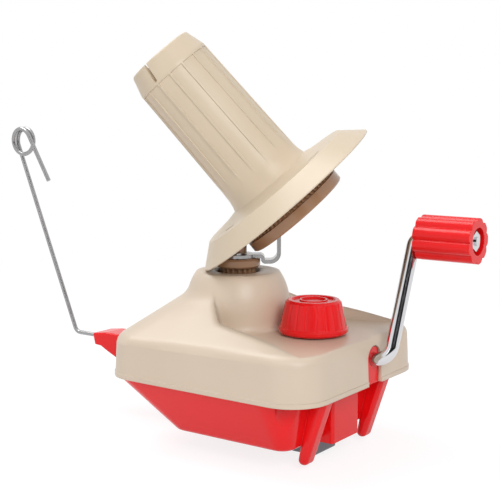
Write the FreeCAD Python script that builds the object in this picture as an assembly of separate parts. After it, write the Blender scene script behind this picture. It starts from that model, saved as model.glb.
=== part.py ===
import FreeCAD, Part
import os
from math import acos, atan, cos, degrees, pi, radians, sin, sqrt, tan

# Yarn ball winder, in millimetres.
# The origin is on the table top, on the axis of the upright centre post.
# X runs along the body to the crank end, Y to the side, Z up.

V = FreeCAD.Vector
origin = V(0, 0, 0)
along_x = V(1, 0, 0)
along_y = V(0, 1, 0)
along_z = V(0, 0, 1)

# clearances
running_fit = 0.05          # radial, a shaft in its bearing
press_gap = 0.02            # radial, a pressed or screwed piece in its hole
loose_fit = 0.3             # radial or axial, between pieces that only pass each other
screw_play = 0.2            # radial, a screw in a clearance hole
end_play = 0.1              # axial, a turning piece between its washers
cut_over = 1.0              # how far a cutting tool starts outside the piece

# cover, outside
body_left = -40.4           # X of the left end
body_right = 71.2           # X of the crank end
body_half_width = 52.4
left_corner_radius = 15.7
right_corner_radius = 18.0
cover_bottom = 23.6         # Z of the cover's lower edge
shoulder_left = 41.8        # Z where the side walls turn into the slopes, at the left end
shoulder_right = 44.2       # the same at the crank end
shoulder_round = 5.0
wall_draft = 1.0            # how far the side walls lean in up to the shoulder
cover_wall = 2.4
roof_share = 0.5            # the roof's inner corners lie this share of the wall lower
lip_height = 2.0
lip_width = 0.25
waist_radius = 24.2         # where the slopes meet the neck
waist_height = 59.6
neck_radius = 24.6          # the neck's greatest radius, low on the platform
neck_belly = 50.0           # and the height where it has it
neck_top = 70.0             # Z of the flat round top of the neck
neck_top_radius = 19.7
neck_foot_round = 10.0
neck_edge_round = 1.2
hub_hole_radius = 10.9

# platform beside the neck, that the clamp's knob stands on
platform_height = 44.5
pocket_floor = ((6.0, 21.0), (17.3, 34.4), 48.4)     # (X, half width) of the platform's two corners
pocket_rise = ((1.0, 24.0), (11.0, 41.0), 54.0)     # and half width past its end; the same at the neck's top
pocket_round = 6.0
pocket_reach = 8.0          # how far the cutting outline runs past the crank end
neck_foot = 2.4             # radius of the hollow where the neck meets the platform

# base, outside
hull_inset = 1.6            # the hull stands this far inside the cover's wall, but not at the crank end
hull_wall = 3.0             # measured level, so the leaning walls are 2 to 2.6 thick
floor_left = -11.0
floor_right = 54.5
floor_half_width = 39.2
floor_left_radius = 10.0
floor_right_radius = 7.0
rim_right = 60.0            # X of the hull's rim under the overhanging cover
rim_right_radius = 14.0
floor_thickness = 3.0
hull_edge_round = 3.0
register_height = 2.0       # the hull's rib and end plate stand this far up inside the cover
leg_spread = 25.4           # Y of the middle of each leg
leg_width = 8.0
leg_top_back = 58.5         # X of a leg's back and front, at the rim and at the tip
leg_top_front = 67.8
leg_tip_back = 52.4
leg_tip_front = 57.2
leg_tip = -7.7              # Z of the leg tips
leg_tip_radius = 2.3
leg_edge_round = 2.2
block_front = 60.3
block_half = 11.5
block_bottom = -1.6
block_round = 1.5

# centre post and drive hub
post_radius = 3.0
post_foot_radius = 5.0
post_boss_wall = 1.6
post_boss_height = 17.0
hub_teeth = 18
hub_module = 0.85
hub_below_crown = 1.0       # the hub's teeth start this far below the crown wheel's
hub_rise = 1.9              # the hub's teeth end this far above the neck
hub_tooth_share = 0.45
collar_radius = 10.6
collar_height = 4.3
collar_round = 0.8
hub_washer_radius = 5.0
hub_washer_thickness = 0.6

# crank
crank_offset = 7.0          # Y of the crank shaft, beside the clamp screw
crank_height = 35.1         # Z of the crank shaft
crank_radius = 3.0
crank_lean = 22.7           # degrees that the arm is turned from upright towards +Y
crank_arm_x = 78.0
crank_arm_length = 58.0
crank_bend = 7.0
crank_inner_end = 9.6       # X of the shaft's end in the crown wheel's hub
crown_teeth = 60
crown_face = 2.6            # length of the crown teeth along the wheel's radius
crown_tooth_height = 1.5
crown_tip_width = 0.6       # tooth widths as shares of the module
crown_root_width = 1.04
crown_engagement = 0.8      # how deep the crown teeth reach into the hub's, in modules
crown_rim = 2.6             # thickness of the crown wheel's disc
crown_web = 1.3
crown_hub_radius = 6.4
crown_hub_end = 21.7
crown_edge = 1.1            # the disc stands this far outside the teeth
crown_relief_start = 4.0    # the cover is thinned inside between these X for the crown wheel
crown_relief_end = 13.0
crank_pin_radius = 1.0
crank_pin_x = 16.5
inner_bearing_x = 22.0
outer_bearing_x = 63.6      # the outer bearing wall fills the slot in the cover's end
bearing_length = 6.0
bush_radius = 4.5
clip_thickness = 0.8
clip_depth = 0.5            # how deep a clip's groove is
clip_radius = 4.8
clip_mouth = 3.6
thin_washer = 0.8
crank_washer_radius = 5.4
slot_width = 12.0
slot_top = 41.2

# crank grip
grip_start = 81.6
grip_length = 27.4
grip_radius = 10.4
grip_lobes = 9
grip_valley = 1.4
grip_edge = 0.5
grip_shoulder_depth = 1.6   # the rod's full thickness reaches this far into the grip
grip_pin_radius = 2.0
grip_recess_radius = 6.2
grip_recess_depth = 4.8
grip_washer_radius = 5.2
grip_nut_flats = 8.0
nut_height = 3.0
nut_flats = 7.0
stud_over = 0.8             # a stud stands this far out of its nut

# spool arm
arm_azimuth = 35.3          # degrees from +X, as the arm stands in the photograph
strip_thickness = 1.8
strip_width = 8.0
strip_bend = 2.6            # centre-line radius of the strip's upper bend
strip_foot_bend = 4.2       # and of the bend at the foot of its upright run
strip_drop = 2.6            # the strip steps down this far outside the collar
strip_step_bend = 1.2
strip_reach = 19.4          # distance of the upright run from the post
strip_eye_radius = 8.2
strip_tab_reach = 5.4       # the tab's end beyond the spindle
arm_screw_spread = 6.0
arm_screw_length = 4.9
arm_hole_depth = 3.3

# spool axis and bevel pair
spool_tilt = 41.02          # degrees between the spool's axis and the post
sun_teeth = 13
ring_teeth = 60
ring_radius = 25.5          # pitch radius at the outer end of the teeth
bevel_face = 3.2
tooth_addendum = 0.6        # in modules
tooth_dedendum = 0.95
tooth_share = 0.4           # tooth thickness as a share of the pitch
tooth_root_width = 1.22     # widths at the root and tip, as shares of the thickness
tooth_tip_width = 0.62
sun_boss_radius = 4.2
sun_boss_height = 5.53
sun_bore = 2.5
sun_shoulder = 0.4          # the pinion stands this far above its seat's end
post_stud = 2.0

# ring gear, distances along the spool's axis from the apex down
ring_top = 25.0
ring_plate = 27.4
ring_band_end = 43.2
ring_band_radius = 26.6
ring_band_edge = 0.6
ring_wall = 2.4
ring_neck_radius = 19.6
ring_hub_radius = 6.2
ring_screw_angles = (90, 210, 330)
ring_screw_circle = 12.5
ring_screw_length = 6.0

# spindle, distances from the apex
tab_top = 37.0              # the tab's face, below the apex
spindle_radius = 3.0
spindle_end = 49.8          # above the apex
spindle_edge = 0.6
rivet_radius = 4.2
rivet_height = 1.6
spindle_washer_radius = 5.6
washer_lower = 0.7
washer_upper = 2.7

# spool, distances from the apex, down positive
spool_end = -55.2
spool_cap = -46.0
spool_body_end = 16.0
spool_flare_end = 22.6
flange_edge = 25.4
rim_edge = 34.1
end_radius = 16.5
cup_radius = 14.6           # inside the open end
cup_floor_radius = 13.1
cap_radius = 19.0
body_radius = 20.2
flare_radius = 21.5
flare_bow = 0.3             # share of the flare that the body's foot has halfway down
flange_radius = 40.0
flange_bow = 0.4            # the flange's top lies this much higher than a straight cone
rim_radius = 50.0
spool_wall = 2.0
rim_thickness = 1.6
spool_edge = 0.5
end_plate = -45.0
end_plate_thickness = 2.4
bush_radius_outside = 4.6
bush_length = 8.0
bush_boss_wall = 2.2
spool_floor = 3.0
screw_boss_radius = 3.4
screw_boss_height = 6.0
screw_boss_hole = 5.0
rib_count = 16
rib_width = 1.0
panel_depth = 0.5
panel_start = -44.6
panel_fade = 4.0            # from here on the panels grow shallow
panel_end = 14.5
slit_width = 1.7
slit_depth = 9.2
slit_angle = -116.4         # degrees round the spool's axis
catch_slots = 4
catch_slot_angle = -49.0    # the first slot's, degrees round the spool's axis
catch_slot_radius = 35.5
catch_slot_width = 1.4
catch_slot_half = 6.5       # degrees

# clamp
screw_x = 42.5
screw_radius = 3.0
knob_radius = 15.9
knob_top_radius = 12.4
knob_height = 15.2
knob_rim = 2.2              # height of the smooth rim below the flutes
knob_edge = 0.8
knob_flutes = 20
flute_radius = 1.35
flute_offset = 0.45         # the flutes' axes lie this far outside the knob
knob_dish = 2.4             # width of the raised edge round the sunken top
knob_dish_depth = 0.8
knob_ring_radius = 6.4
knob_ring_width = 0.8
knob_shank_radius = 6.0
knob_shank_end = 38.6
knob_sleeve_wall = 2.0
knob_washer_radius = 10.5
knob_washer_thickness = 0.8
screw_grip = 6.0            # the screw reaches this far into the knob
screw_spigot = 2.0
screw_spigot_end = 1.6
screw_shoulder = 4.6        # Z where the clamp screw's foot stands on its boss
screw_foot_boss = 5.0
jaw_thickness = 2.4
jaw_width = 16.0
jaw_web = 50.0              # X of the outer face of the jaw's web
jaw_gap = 7.4               # between the hull's bottom and the jaw, as it stands
jaw_length = 26.0
jaw_lip = 2.5
jaw_bend = 1.6              # outer radius of the strip's bends
jaw_tooth_places = (-4.5, -1.5, 1.5, 4.5)
jaw_tooth_gap = 1.5
jaw_tooth_depth = 1.7
jaw_nut_top = 25.2
jaw_nut_size = 10.0
jaw_nut_height = 4.0
jaw_tab_over = 3.0          # the tab reaches this far past the nut

# guide arm and yarn guide
guide_tip = -89.0
guide_knee = -80.0          # X where the arm's top becomes level
guide_height = 27.0         # Z of the wire's axis at the arm's tip
guide_half = 7.2
guide_tip_top = 29.8
guide_top = 31.0
guide_tip_bottom = 24.2
guide_tip_lean = 1.4        # the tip's lower edge stands this far back
guide_neck = (-83.0, 23.8)  # the belly's start behind the tip, its middle and its root
guide_belly = (-60.0, 14.6)
guide_root_bottom = 9.0
guide_round = 1.0
guide_screw_height = 20.0
guide_screw_spread = 4.0
guide_pad = -26.5           # X of the seat of the guide arm's screws, inside the hull
guide_pad_half = 9.0
guide_pad_height = 4.5
guide_screw_length = 16.0
guide_bore_depth = 15.0
wire_end_gap = 0.6
wire_radius = 1.1
wire_bend_x = -107.2
wire_bend_radius = 4.0
wire_lean = 22.4            # degrees outward from upright
wire_leg = 106.5
loop_radius = 6.8
loop_turns = 1.5
loop_pitch = 3.2
loop_steps = 8              # arcs in one turn
free_leg = 27.0
free_leg_turn = 10.0        # degrees that the free leg spreads from the long leg

# screws, as head radius, head height and shank radius
body_screw = (2.9, 1.8, 1.5)
small_screw = (1.8, 1.0, 0.9)
drive_width = 0.8           # of the shank's radius
drive_depth = 0.6           # of the head's height
screw_bite = 9.0            # length of a body screw in the piece that it holds
pilot_depth = 9.5
cover_boss_radius = 4.2
cover_ledge = 1.8           # thickness under the cover screws' heads
left_screw_inset = 8.0      # the left pair stands this far inside the hull's floor
right_screw_angle = 31.0    # degrees, where the right pair stands round the hull's corners
right_screw_place = 12.6    # distance from the middle of the corner's round
groove_place = 16.5         # the same for the groove that the screw is driven through
groove_radius = 7.0
groove_wall = 2.2

# worked out from the sizes above
hull_rim = cover_bottom
screw_shank = body_screw[2]
cover_joint = hull_rim + register_height
screw_seat = cover_joint - cover_ledge
hub_pitch_radius = hub_teeth * hub_module / 2
crown_radius = crown_teeth / hub_teeth * hub_pitch_radius
crown_outer = crown_radius + crown_face / 2 + crown_edge
crown_tip_x = hub_pitch_radius - hub_module * crown_engagement
crown_root_x = crown_tip_x + crown_tooth_height
hub_bottom = crank_height + crown_radius - crown_face / 2 - hub_below_crown
hub_teeth_top = neck_top + hub_rise
collar_top = hub_teeth_top + collar_height
post_shoulder = hub_bottom - hub_washer_thickness - 2 * end_play
sun_seat = collar_top + strip_thickness + loose_fit
strip_level = collar_top + strip_thickness / 2 - strip_drop
sun_cone = atan(sin(radians(spool_tilt)) / (ring_teeth / sun_teeth + cos(radians(spool_tilt))))
ring_cone = radians(spool_tilt) - sun_cone
cone_length = ring_radius / sin(ring_cone)
bevel_module = 2 * ring_radius / ring_teeth
apex_height = sun_seat + sun_boss_height + cone_length * cos(sun_cone)
sun_top = apex_height - (cone_length - bevel_face) * cos(sun_cone)
ring_hub_bottom = tab_top - washer_lower - end_play
spindle_groove = -end_plate + end_play + washer_upper
grip_shoulder = grip_start + grip_shoulder_depth
grip_end = grip_start + grip_length
grip_seat = grip_end - grip_recess_depth
grip_centre_y = crank_offset + crank_arm_length * sin(radians(crank_lean))
grip_centre_z = crank_height + crank_arm_length * cos(radians(crank_lean))
crank_clip_x = inner_bearing_x + bearing_length + thin_washer + end_play
knob_base = platform_height + knob_washer_thickness
jaw_tab_top = jaw_nut_top + jaw_thickness


def save(name, shape):
    """Writes one sub-part to its own file."""
    shape.exportStep("parts/" + name + ".step")
    print(name, "solids", len(shape.Solids), "volume", round(shape.Volume, 1), "valid", shape.isValid())


def rod(radius, length, start, direction=along_z):
    return Part.makeCylinder(radius, length, start, direction)


def tube(radius, bore, length, start, direction=along_z):
    return rod(radius, length, start, direction).cut(rod(bore, length, start, direction))


def box(x0, x1, y0, y1, z0, z1):
    return Part.makeBox(x1 - x0, y1 - y0, z1 - z0, V(x0, y0, z0))


def polygon(points):
    return Part.makePolygon(points + [points[0]])


def level_edges(shape, z):
    """The edges that lie flat at height z."""
    found = []
    for edge in shape.Edges:
        span = edge.BoundBox
        if abs(span.ZMin - z) < 0.001 and abs(span.ZMax - z) < 0.001:
            found.append(edge)
    return found


def outline(items, place):
    """A closed wire. Items are end points (u, v) of lines, or (middle u, middle v, u, v) of arcs."""
    first = place(*items[0])
    last = first
    edges = []
    for item in items[1:]:
        end = place(*item[-2:])
        if len(item) == 4:
            edges.append(Part.Arc(last, place(*item[:2]), end).toShape())
        else:
            edges.append(Part.makeLine(last, end))
        last = end
    edges.append(Part.makeLine(last, first))
    return Part.Wire(edges)


def revolve(items):
    """Turns an outline of (radius, height) items about the Z axis."""
    wire = outline(items, lambda radius, height: V(radius, 0, height))
    return Part.Face(wire).revolve(origin, along_z, 360)


def rounded_outline(x0, x1, half, left_radius, right_radius, z):
    """A rectangle with round corners at height z, starting at the near right corner."""
    corners = [
        (x1 - right_radius, -half + right_radius, right_radius, -90),
        (x1 - right_radius, half - right_radius, right_radius, 0),
        (x0 + left_radius, half - left_radius, left_radius, 90),
        (x0 + left_radius, -half + left_radius, left_radius, 180),
    ]
    edges = []
    last = None
    for cx, cy, radius, start in corners:
        arc = Part.Arc(Part.Circle(V(cx, cy, z), along_z, radius), radians(start), radians(start + 90))
        edge = arc.toShape()
        if last is not None:
            edges.append(Part.makeLine(last, edge.valueAt(edge.FirstParameter)))
        edges.append(edge)
        last = edge.valueAt(edge.LastParameter)
    edges.append(Part.makeLine(last, edges[0].valueAt(edges[0].FirstParameter)))
    return Part.Wire(edges)


def ring_of_arcs(radius, z):
    """A circle at height z, split like the rounded outline."""
    cuts = [-68, -22, 22, 68, 112, 158, 202, 248, 292]
    edges = []
    for start, end in zip(cuts, cuts[1:]):
        arc = Part.Arc(Part.Circle(V(0, 0, z), along_z, radius), radians(start), radians(end))
        edges.append(arc.toShape())
    return Part.Wire(edges)


def rounded_path(points, radii):
    """Straight runs joined by tangent arcs, one radius for each inner point."""
    edges = []
    start = points[0]
    for i in range(1, len(points) - 1):
        before = (points[i - 1] - points[i]).normalize()
        after = (points[i + 1] - points[i]).normalize()
        half_angle = acos(max(-1.0, min(1.0, before.dot(after)))) / 2
        reach = radii[i - 1] / tan(half_angle)
        middle = (before + after).normalize()
        entry = points[i] + before * reach
        leave = points[i] + after * reach
        top = points[i] + middle * (radii[i - 1] / sin(half_angle) - radii[i - 1])
        edges.append(Part.makeLine(start, entry))
        edges.append(Part.Arc(entry, top, leave).toShape())
        start = leave
    edges.append(Part.makeLine(start, points[-1]))
    return Part.Wire(edges)


def wire_tube(path, radius, start, direction):
    """A round bar swept along a path."""
    section = Part.Wire([Part.Circle(start, direction, radius).toShape()])
    return path.makePipeShell([section], True, False)


def strip_sweep(path, start, direction):
    """The arm's flat strip swept along a path that lies in the XZ plane."""
    across = along_y * (strip_width / 2)
    up = direction.cross(along_y) * (strip_thickness / 2)
    corners = [start + across + up, start - across + up, start - across - up, start + across - up]
    return path.makePipeShell([polygon(corners)], True, False)


def to_arm(shape):
    """Turns a shape modelled with the arm along +X to the arm's place."""
    placed = shape.copy()
    turn = FreeCAD.Placement(origin, FreeCAD.Rotation(along_z, arm_azimuth))
    placed.Placement = turn.multiply(placed.Placement)
    return placed


def to_spool(shape):
    """Places a shape modelled round +Z, apex at the origin, on the tilted spool axis."""
    turn = FreeCAD.Rotation(along_z, arm_azimuth).multiply(FreeCAD.Rotation(along_y, -spool_tilt))
    placed = shape.copy()
    placed.Placement = FreeCAD.Placement(V(0, 0, apex_height), turn).multiply(placed.Placement)
    return placed


def pan_screw(sizes, length, seat, direction):
    """A screw whose head sits on the seat and whose shank runs along the direction."""
    head_radius, head_height, radius = sizes
    under = seat - direction * head_height
    head = rod(head_radius, head_height, under, direction)
    drive = rod(radius * drive_width, head_height * drive_depth, under, direction)
    return head.fuse(rod(radius, length, seat, direction)).cut(drive)


def make_nut(flats, height, stud, place, direction):
    """A hexagon nut on a stud of the given radius."""
    radius = flats / sqrt(3)
    corners = [V(radius * cos(radians(60 * i)), radius * sin(radians(60 * i)), 0) for i in range(6)]
    nut = Part.Face(polygon(corners)).extrude(V(0, 0, height)).cut(rod(stud + press_gap, height, origin))
    nut.Placement = FreeCAD.Placement(place, FreeCAD.Rotation(along_z, direction))
    return nut


def open_clip(shaft, place, direction, mouth):
    """A spring clip in a shaft's groove, opened by the mouth."""
    return tube(clip_radius, shaft - clip_depth, clip_thickness, place, direction).cut(mouth)


def body_outline(inset, z):
    """The cover's outline in plan, at height z."""
    return rounded_outline(body_left + inset, body_right - inset, body_half_width - inset,
                           left_corner_radius - inset, right_corner_radius - inset, z)


def shoulder_outline(inset, drop):
    """The outline where the walls turn into the slopes. It rises towards the crank end."""
    rise = (shoulder_right - shoulder_left) / (body_right - body_left)
    lift = FreeCAD.Matrix()
    lift.A31 = rise
    lift.A34 = shoulder_left - drop - body_left * rise
    return body_outline(wall_draft + inset, 0).transformGeometry(lift)


def shoulder_edges(shape):
    """The edges of a shape that lie on the shoulder's tilted plane."""
    rise = (shoulder_right - shoulder_left) / (body_right - body_left)
    found = []
    for edge in shape.Edges:
        ends = [vertex.Point for vertex in edge.Vertexes]
        if all(abs(shoulder_left + (end.x - body_left) * rise - end.z) < 0.001 for end in ends):
            found.append(edge)
    return found


def cover_shell(inset):
    """Side walls, slopes and neck with sharp edges, or their inner faces when inset by the wall."""
    drop = inset * roof_share
    lower = body_outline(inset, cover_bottom - inset)
    shoulder = shoulder_outline(inset, drop)
    waist = waist_height - drop
    walls = Part.makeLoft([lower, shoulder], True, True)
    slopes = Part.makeLoft([shoulder, ring_of_arcs(waist_radius - inset, waist)], True, True)
    neck = revolve([(0, neck_belly)] + neck_profile(inset) + [(0, neck_top - inset)])
    return walls.fuse(slopes).fuse(neck)


def neck_profile(inset):
    """The neck's outline from its belly up, (radius, height) points for a revolved form."""
    drop = inset * roof_share
    return [(neck_radius - inset, neck_belly),
            (waist_radius - inset, waist_height - drop, neck_top_radius - inset, neck_top - inset)]


def pocket_plan(sizes, z, inset):
    """The platform's outline at height z."""
    (start_x, start_half), (corner_x, corner_half), end_half = sizes
    end = body_right + pocket_reach
    points = [V(end, -end_half, z), V(corner_x, -corner_half, z), V(start_x, -start_half, z),
              V(start_x, start_half, z), V(corner_x, corner_half, z), V(end, end_half, z)]
    path = rounded_path(points, [pocket_round] * 4)
    plan = Part.Wire(path.Edges + [Part.makeLine(points[-1], points[0])])
    return plan.makeOffset2D(inset) if inset else plan


def pocket_form(inset):
    """The space over the platform, or with an inset the same space and the wall round it."""
    floor = platform_height - inset
    bend = neck_foot * (1 - sqrt(0.5))
    foot = neck_radius - inset
    plans = [pocket_plan(pocket_floor, floor, inset), pocket_plan(pocket_rise, neck_top, inset)]
    space = Part.makeLoft(plans, True, True)
    neck = revolve([(0, floor), (foot + neck_foot, floor),
                    (foot + bend, floor + bend, foot, floor + neck_foot)] + neck_profile(inset)
                   + [(neck_top_radius - inset, neck_top + cut_over), (0, neck_top + cut_over)])
    return space.cut(neck)


def left_screws():
    """Plan places of the two cover screws in the hull's floor."""
    x = floor_left + left_screw_inset
    y = floor_half_width - left_screw_inset
    return [(x, -y), (x, y)]


def right_places(distance):
    """Plan places at a distance from the middles of the two round corners at the hull's crank end."""
    x = rim_right - rim_right_radius + distance * cos(radians(right_screw_angle))
    y = body_half_width - hull_inset - rim_right_radius + distance * sin(radians(right_screw_angle))
    return [(x, -y), (x, y)]


def make_cover():
    outer = cover_shell(0)
    outer = outer.makeFillet(neck_foot_round, level_edges(outer, waist_height))
    outer = outer.makeFillet(shoulder_round, shoulder_edges(outer))
    outer = outer.makeFillet(neck_edge_round, level_edges(outer, neck_top))
    outer = outer.cut(pocket_form(0))
    hollow = cover_shell(cover_wall).cut(pocket_form(cover_wall))
    lip = Part.Face(body_outline(-lip_width, cover_bottom)).extrude(V(0, 0, lip_height))
    cover = outer.fuse(lip).cut(hollow)
    for x, y in left_screws() + right_places(right_screw_place):
        boss = rod(cover_boss_radius, neck_top - cover_joint, V(x, y, cover_joint)).common(outer)
        cover = cover.fuse(boss).cut(rod(screw_shank + press_gap, pilot_depth, V(x, y, cover_joint)))
    cover = cover.cut(rod(hub_hole_radius, neck_top, V(0, 0, waist_height)))
    relief = rod(crown_outer + 2 * loose_fit, crown_relief_end - crown_relief_start,
                 V(crown_relief_start, crank_offset, crank_height), along_x)
    cover = cover.cut(relief)
    sleeve = knob_shank_radius + loose_fit
    guide = rod(sleeve + knob_sleeve_wall, platform_height - knob_shank_end, V(screw_x, 0, knob_shank_end))
    cover = cover.fuse(guide).cut(rod(sleeve, platform_height, V(screw_x, 0, knob_shank_end - cut_over)))
    return cover.cut(crank_slot()).cut(guide_notch())


def crank_slot():
    """The arched slot in the cover's end that the outer bearing wall fills."""
    radius = slot_width / 2
    start = body_right - right_corner_radius / 2
    length = right_corner_radius
    arch = rod(radius, length, V(start, crank_offset, slot_top - radius), along_x)
    return arch.fuse(box(start, start + length, crank_offset - radius, crank_offset + radius,
                         cover_bottom - cut_over, slot_top - radius))


def guide_notch():
    """The notch in the cover's left end that the guide arm passes."""
    half = guide_half + loose_fit
    reach = 2 * cover_wall
    return box(body_left - reach, body_left + reach, -half, half,
               cover_bottom - cut_over, guide_top + loose_fit)


def hull_outline(z, inset):
    """The hull's outline at height z. It widens from the floor to the rim."""
    share = z / hull_rim

    def between(low, high):
        return low + (high - low) * share

    return rounded_outline(between(floor_left, body_left + hull_inset) + inset,
                           between(floor_right, rim_right) - inset,
                           between(floor_half_width, body_half_width - hull_inset) - inset,
                           between(floor_left_radius, left_corner_radius - hull_inset) - inset,
                           between(floor_right_radius, rim_right_radius) - inset, z)


def hull_form():
    """The hull as a closed solid, grooved at two corners for the cover's screws."""
    hull = Part.makeLoft([hull_outline(0, 0), hull_outline(hull_rim, 0)], True, True)
    hull = hull.makeFillet(hull_edge_round, level_edges(hull, 0))
    for x, y in right_places(groove_place):
        hull = hull.cut(rod(groove_radius, hull_rim + 2 * cut_over, V(x, y, -cut_over)))
    return hull


def hull_hollow():
    """The space inside the hull, open above."""
    hollow = Part.makeLoft([hull_outline(floor_thickness, hull_wall),
                            hull_outline(hull_rim + cut_over, hull_wall)], True, True)
    for x, y in right_places(groove_place):
        hollow = hollow.cut(rod(groove_radius + groove_wall, hull_rim + 2 * cut_over, V(x, y, -cut_over)))
    return hollow


def make_leg(side):
    """A deep rib on the hull's end wall that runs down to a round tip."""
    points = [V(leg_top_back, 0, hull_rim), V(leg_tip_back, 0, leg_tip),
              V(leg_tip_front, 0, leg_tip), V(leg_top_front, 0, hull_rim)]
    path = rounded_path(points, [leg_tip_radius] * 2)
    top = Part.makeLine(points[-1], points[0])
    leg = Part.Face(Part.Wire(path.Edges + [top])).extrude(V(0, leg_width, 0))
    sharp = [edge for edge in leg.Edges
             if edge.BoundBox.YLength < 0.001 and edge.BoundBox.ZMin < hull_rim - 1]
    leg = leg.makeFillet(leg_edge_round, sharp)
    leg.translate(V(0, side * leg_spread - leg_width / 2, 0))
    return leg


def make_block():
    """The block between the legs, in front of the jaw's web."""
    back = jaw_web + 2 * loose_fit
    block = box(back, block_front, -block_half, block_half, block_bottom, hull_rim)
    upright = [edge for edge in block.Edges
               if edge.BoundBox.ZLength > block_front - back and edge.BoundBox.XMin > back + block_round]
    return block.makeFillet(block_round, upright)


def make_pillar(x0, foot):
    """An upright bearing wall for the crank shaft, as wide as the cover's slot allows."""
    half = slot_width / 2 - loose_fit
    wall = box(x0, x0 + bearing_length, crank_offset - half, crank_offset + half, foot, crank_height)
    return wall.fuse(rod(half, bearing_length, V(x0, crank_offset, crank_height), along_x))


def make_register():
    """The rib on the hull's rim that keeps the cover in place. At the crank end it is a wide plate."""
    outside = Part.Face(body_outline(cover_wall + 2 * loose_fit, hull_rim))
    rib = outside.cut(Part.Face(hull_outline(hull_rim, hull_wall))).extrude(V(0, 0, register_height))
    half = guide_half + loose_fit
    return rib.cut(box(body_left, body_left + right_corner_radius, -half, half, hull_rim, cover_joint))


def add_cover_bosses(base):
    """Bores and seats for the four screws that come up into the cover."""
    head_radius = body_screw[0]
    foot = floor_thickness / 2
    for x, y in left_screws():
        base = base.fuse(rod(cover_boss_radius, cover_joint - foot, V(x, y, foot)))
    for x, y in left_screws() + right_places(right_screw_place):
        base = base.cut(rod(head_radius + screw_play, screw_seat + cut_over, V(x, y, -cut_over)))
        base = base.cut(rod(screw_shank + screw_play, cover_joint, V(x, y, screw_seat - cut_over)))
    return base


def add_clamp_seat(base):
    """The boss under the clamp screw and the slot in the floor for the jaw's web."""
    foot = floor_thickness / 2
    spigot_bottom = screw_spigot_end - end_play
    base = base.fuse(rod(screw_foot_boss, screw_shoulder - foot, V(screw_x, 0, foot)))
    base = base.cut(rod(screw_spigot + running_fit, screw_shoulder, V(screw_x, 0, spigot_bottom)))
    half = jaw_width / 2 + loose_fit
    return base.cut(box(jaw_web - jaw_thickness - loose_fit, jaw_web + loose_fit, -half, half,
                        block_bottom - cut_over, floor_thickness + hull_edge_round))


def add_guide_seat(base, outer):
    """The pad on the hull's leaning end wall that the guide arm is screwed to."""
    pad = box(body_left, guide_pad, -guide_pad_half, guide_pad_half,
              guide_screw_height - guide_pad_height, guide_screw_height + guide_pad_height)
    base = base.fuse(pad.common(outer))
    for y in (-guide_screw_spread, guide_screw_spread):
        start = V(guide_pad + cut_over, y, guide_screw_height)
        base = base.cut(rod(screw_shank + screw_play, -body_left, start, -along_x))
    return base


def make_base():
    outer = hull_form()
    hollow = hull_hollow()
    base = outer.cut(hollow)
    base = base.fuse(make_leg(-1).fuse(make_leg(1)).fuse(make_block()).cut(hollow))
    base = base.fuse(make_register())
    base = base.fuse(rod(post_foot_radius + post_boss_wall, post_boss_height, V(0, 0, floor_thickness / 2)))
    base = base.cut(rod(post_foot_radius + press_gap, post_boss_height, V(0, 0, floor_thickness)))
    base = base.fuse(make_pillar(inner_bearing_x, floor_thickness / 2))
    base = base.fuse(make_pillar(outer_bearing_x, hull_rim))
    bore_start = V(inner_bearing_x - cut_over, crank_offset, crank_height)
    base = base.cut(rod(bush_radius + press_gap, body_right, bore_start, along_x))
    base = add_cover_bosses(base)
    base = add_clamp_seat(base)
    return add_guide_seat(base, outer)


def make_guide_arm():
    """A flat-topped arm with a curved belly, its root cut to seat on the hull's leaning end wall."""
    wall_lean = (floor_left - body_left - hull_inset) / hull_rim
    root = floor_left - wall_lean * guide_root_bottom
    profile = outline([
        (root, guide_root_bottom), guide_belly + guide_neck, (guide_tip + guide_tip_lean, guide_tip_bottom),
        (guide_tip, guide_tip_top), (guide_knee, guide_top), (body_left + cover_wall, guide_top),
        (body_left + cover_wall, hull_rim), (body_left + hull_inset, hull_rim),
    ], lambda x, z: V(x, -guide_half, z))
    arm = Part.Face(profile).extrude(V(0, 2 * guide_half, 0))
    sharp = []
    for edge in arm.Edges:
        span = edge.BoundBox
        at_tip = span.XMax < guide_tip + guide_tip_lean + 0.001
        along_top = span.ZMin > guide_tip_top - 0.001 and span.YLength < 1 and span.XLength > 1
        if at_tip or along_top:
            sharp.append(edge)
    arm = arm.makeFillet(guide_round, sharp)
    arm = arm.cut(rod(wire_radius + running_fit, guide_bore_depth, V(guide_tip, 0, guide_height), along_x))
    for y in (-guide_screw_spread, guide_screw_spread):
        arm = arm.cut(rod(screw_shank + press_gap, guide_screw_length + end_play,
                          V(guide_pad, y, guide_screw_height), -along_x))
    return arm


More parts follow.
